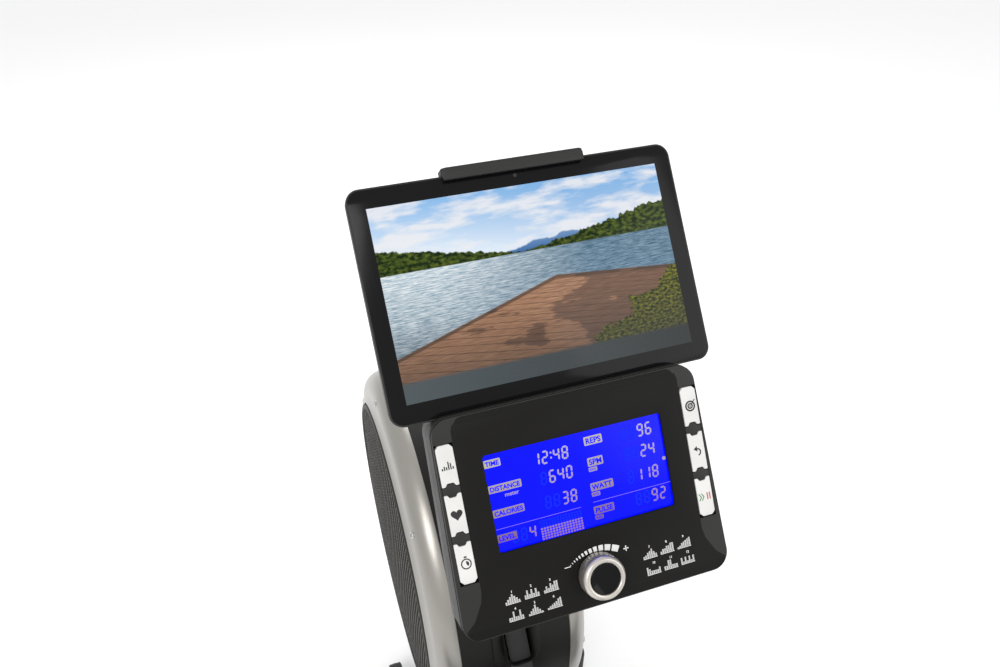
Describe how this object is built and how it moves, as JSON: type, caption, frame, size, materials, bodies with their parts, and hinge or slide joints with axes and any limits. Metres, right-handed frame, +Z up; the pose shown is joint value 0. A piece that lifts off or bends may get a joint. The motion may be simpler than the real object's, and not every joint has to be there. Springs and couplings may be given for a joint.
{
  "type": "rowing machine",
  "caption": "Folding magnetic rowing machine with round vented flywheel housing, sliding seat, strap handle, tilting console and clamped tablet.",
  "frame": {"origin": "middle of the footprint on the floor", "axes": "+Y along the rail towards the flywheel housing, the way the rower faces; +X to the right of the rower; +Z up"},
  "size_m": [0.501, 2.012, 1.0404],
  "materials": {
    "frame_paint": "satin black powder coat",
    "silver_plastic": "satin silver metallic paint",
    "black_plastic": "fine textured black",
    "console_plastic": "smooth matt black with printed symbols",
    "vent_plastic": "perforated dark grey",
    "inner_plastic": "moulded black nylon",
    "rubber": "matt rubber",
    "steel": "plated steel",
    "iron": "turned iron",
    "rail_alloy": "anodised extrusion",
    "knob_alloy": "turned and brushed",
    "grip_foam": "foam rubber",
    "seat_vinyl": "stitched black vinyl",
    "webbing": "woven black nylon",
    "key_white": "matt white",
    "lcd_screen": "backlit blue display",
    "tablet_glass": "glossy black"
  },
  "bodies": {
    "frame": {"main_frame": "frame_paint", "front_stabilizer": "frame_paint", "front_cap_left": "rubber", "front_cap_right": "rubber", "left_shell": "silver_plastic", "right_shell": "silver_plastic", "front_panel": "black_plastic", "slot_bezel": "black_plastic", "left_vent": "vent_plastic", "right_vent": "vent_plastic", "console_mast": "black_plastic", "handle_cradle": "black_plastic", "servo_motor": "inner_plastic", "dc_inlet": "inner_plastic", "rail_hinge_pin": "steel", "drive_belt": "rubber", "tilt_pin": "steel"},
    "flywheel": {"flywheel": "iron", "flywheel_axle": "steel"},
    "drive_pulley": {"drive_pulley": "inner_plastic"},
    "strap_drum": {"strap_drum": "inner_plastic"},
    "guide_roller": {"guide_roller": "steel"},
    "magnet_bracket": {"magnet_bracket": "iron"},
    "rail": {"rail": "rail_alloy", "rear_stand": "frame_paint", "rear_cap_left": "rubber", "rear_cap_right": "rubber", "rear_stop": "rubber"},
    "fold_pin": {"fold_pin": "inner_plastic"},
    "seat": {"seat_carriage": "steel", "seat_pad": "seat_vinyl"},
    "front_roller": {"front_roller": "inner_plastic"},
    "rear_roller": {"rear_roller": "inner_plastic"},
    "left_pedal": {"left_footplate": "black_plastic", "left_heel_cup": "black_plastic", "left_foot_strap": "webbing"},
    "right_pedal": {"right_footplate": "black_plastic", "right_heel_cup": "black_plastic", "right_foot_strap": "webbing"},
    "handle": {"handle_bar": "steel", "left_grip": "grip_foam", "right_grip": "grip_foam", "strap_clip": "steel", "pull_strap": "webbing"},
    "left_transport_wheel": {"left_transport_wheel": "rubber"},
    "right_transport_wheel": {"right_transport_wheel": "rubber"},
    "console": {"console_case": "black_plastic", "console_face": "console_plastic", "lcd_panel": "lcd_screen", "tablet_rest": "black_plastic", "tablet": "tablet_glass"},
    "tablet_clamp": {"tablet_clamp": "black_plastic"},
    "knob_shaft": {"knob_shaft": "steel"},
    "knob": {"knob": "knob_alloy"},
    "program_key": {"program_key": "key_white"},
    "pulse_key": {"pulse_key": "key_white"},
    "timer_key": {"timer_key": "key_white"},
    "target_key": {"target_key": "key_white"},
    "return_key": {"return_key": "key_white"},
    "start_stop_key": {"start_stop_key": "key_white"}
  },
  "joints": [
    {"name": "rail_fold", "type": "hinge", "parent": "frame", "child": "rail", "pos_m": [0, 0.33, 0.3], "axis": [-1, 0, 0], "range_deg": [0, 70]},
    {"name": "fold_pin_pull", "type": "slide", "parent": "frame", "child": "fold_pin", "axis": [1, 0, 0], "range_m": [0, 0.012], "stiffness_N_per_m": 400},
    {"name": "seat_slide", "type": "slide", "parent": "rail", "child": "seat", "axis": [0, -1, 0], "range_m": [-0.2, 0.68]},
    {"name": "front_roller_spin", "type": "hinge", "parent": "seat", "child": "front_roller", "pos_m": [0, -0.042, 0.3431], "axis": [1, 0, 0], "continuous": true},
    {"name": "rear_roller_spin", "type": "hinge", "parent": "seat", "child": "rear_roller", "pos_m": [0, -0.158, 0.3431], "axis": [1, 0, 0], "continuous": true},
    {"name": "left_pedal_pivot", "type": "hinge", "parent": "frame", "child": "left_pedal", "pos_m": [-0.14, 0.445, 0.215], "axis": [1, 0, 0], "range_deg": [-22, 0]},
    {"name": "right_pedal_pivot", "type": "hinge", "parent": "frame", "child": "right_pedal", "pos_m": [0.14, 0.445, 0.215], "axis": [1, 0, 0], "range_deg": [-22, 0]},
    {"name": "handle_slide", "type": "slide", "parent": "frame", "child": "handle", "axis": [0, -0.93, 0.3676], "range_m": [0, 1.05], "stiffness_N_per_m": 12, "springref_m": -1, "deforming": ["pull_strap"]},
    {"name": "drum_spin", "type": "hinge", "parent": "frame", "child": "strap_drum", "pos_m": [0, 0.69, 0.5], "axis": [1, 0, 0], "continuous": true},
    {"name": "guide_roller_spin", "type": "hinge", "parent": "frame", "child": "guide_roller", "pos_m": [0, 0.6, 0.51], "axis": [1, 0, 0], "continuous": true},
    {"name": "flywheel_spin", "type": "hinge", "parent": "frame", "child": "flywheel", "pos_m": [0, 0.8, 0.375], "axis": [1, 0, 0], "continuous": true},
    {"name": "drive_pulley_spin", "type": "hinge", "parent": "frame", "child": "drive_pulley", "pos_m": [0, 0.69, 0.5], "axis": [1, 0, 0], "continuous": true},
    {"name": "magnet_swing", "type": "hinge", "parent": "frame", "child": "magnet_bracket", "pos_m": [0, 0.896, 0.49], "axis": [1, 0, 0], "range_deg": [0, 12]},
    {"name": "left_wheel_spin", "type": "hinge", "parent": "frame", "child": "left_transport_wheel", "pos_m": [-0.115, 0.79, 0.033], "axis": [1, 0, 0], "continuous": true},
    {"name": "right_wheel_spin", "type": "hinge", "parent": "frame", "child": "right_transport_wheel", "pos_m": [0.115, 0.79, 0.033], "axis": [1, 0, 0], "continuous": true},
    {"name": "console_tilt", "type": "hinge", "parent": "frame", "child": "console", "pos_m": [0, 0.4534, 0.8178], "axis": [1, 0, 0], "range_deg": [-15, 20]},
    {"name": "clamp_lift", "type": "slide", "parent": "console", "child": "tablet_clamp", "axis": [0, 0.6405, 0.768], "range_m": [0, 0.02], "stiffness_N_per_m": 400, "springref_m": -0.005},
    {"name": "knob_push", "type": "slide", "parent": "console", "child": "knob_shaft", "axis": [0, 0.8194, -0.5732], "range_m": [0, 0.0008], "stiffness_N_per_m": 600},
    {"name": "knob_turn", "type": "hinge", "parent": "knob_shaft", "child": "knob", "pos_m": [0, 0.3896, 0.8051], "axis": [0, -0.8194, 0.5732], "continuous": true},
    {"name": "program_key_press", "type": "slide", "parent": "console", "child": "program_key", "axis": [0, 0.8194, -0.5732], "range_m": [0, 0.0015], "stiffness_N_per_m": 300},
    {"name": "pulse_key_press", "type": "slide", "parent": "console", "child": "pulse_key", "axis": [0, 0.8194, -0.5732], "range_m": [0, 0.0015], "stiffness_N_per_m": 300},
    {"name": "timer_key_press", "type": "slide", "parent": "console", "child": "timer_key", "axis": [0, 0.8194, -0.5732], "range_m": [0, 0.0015], "stiffness_N_per_m": 300},
    {"name": "target_key_press", "type": "slide", "parent": "console", "child": "target_key", "axis": [0, 0.8194, -0.5732], "range_m": [0, 0.0015], "stiffness_N_per_m": 300},
    {"name": "return_key_press", "type": "slide", "parent": "console", "child": "return_key", "axis": [0, 0.8194, -0.5732], "range_m": [0, 0.0015], "stiffness_N_per_m": 300},
    {"name": "start_stop_key_press", "type": "slide", "parent": "console", "child": "start_stop_key", "axis": [0, 0.8194, -0.5732], "range_m": [0, 0.0015], "stiffness_N_per_m": 300}
  ],
  "couplings": [
    {"joint": "front_roller_spin", "follows": "seat_slide", "rad_per_m": 56.497},
    {"joint": "rear_roller_spin", "follows": "seat_slide", "rad_per_m": 56.497},
    {"joint": "drum_spin", "follows": "handle_slide", "rad_per_m": 22.222},
    {"joint": "guide_roller_spin", "follows": "handle_slide", "rad_per_m": 72.464},
    {"joint": "drive_pulley_spin", "follows": "flywheel_spin", "ratio": 0.21176}
  ]
}
